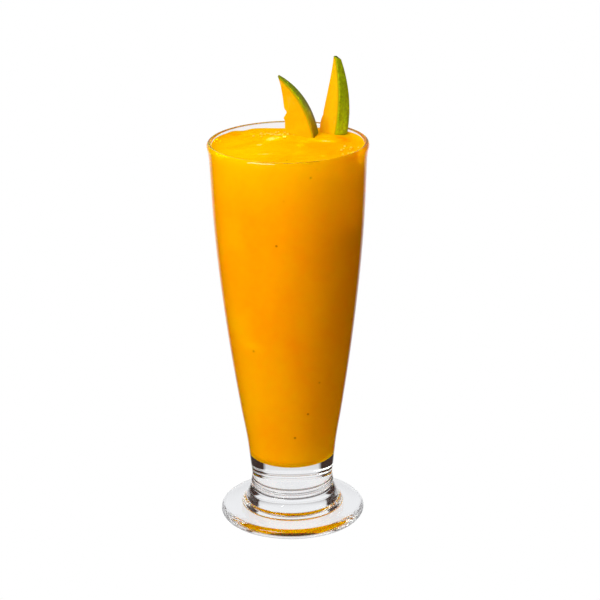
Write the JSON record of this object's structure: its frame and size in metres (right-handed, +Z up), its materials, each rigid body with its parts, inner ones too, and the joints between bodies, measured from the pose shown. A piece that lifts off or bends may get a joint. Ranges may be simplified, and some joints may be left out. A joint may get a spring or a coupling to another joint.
{
  "type": "glass of mango juice",
  "caption": "Tall footed glass filled nearly to its rim with thick mango juice, with upright mango wedges standing in it as a garnish.",
  "frame": {"origin": "middle of the foot's underside, on the surface that the glass stands on", "axes": "+Z up along the glass's axis, -Y towards the viewer, +X to the viewer's right"},
  "size_m": [0.08, 0.08, 0.2352],
  "materials": {
    "clear_glass": "polished",
    "mango_juice": "satin",
    "mango_flesh": "satin"
  },
  "bodies": {
    "root": {"glass": "clear_glass", "mango_juice": "mango_juice", "mango_wedge_left": "mango_flesh", "mango_wedge_right": "mango_flesh"}
  },
  "joints": []
}
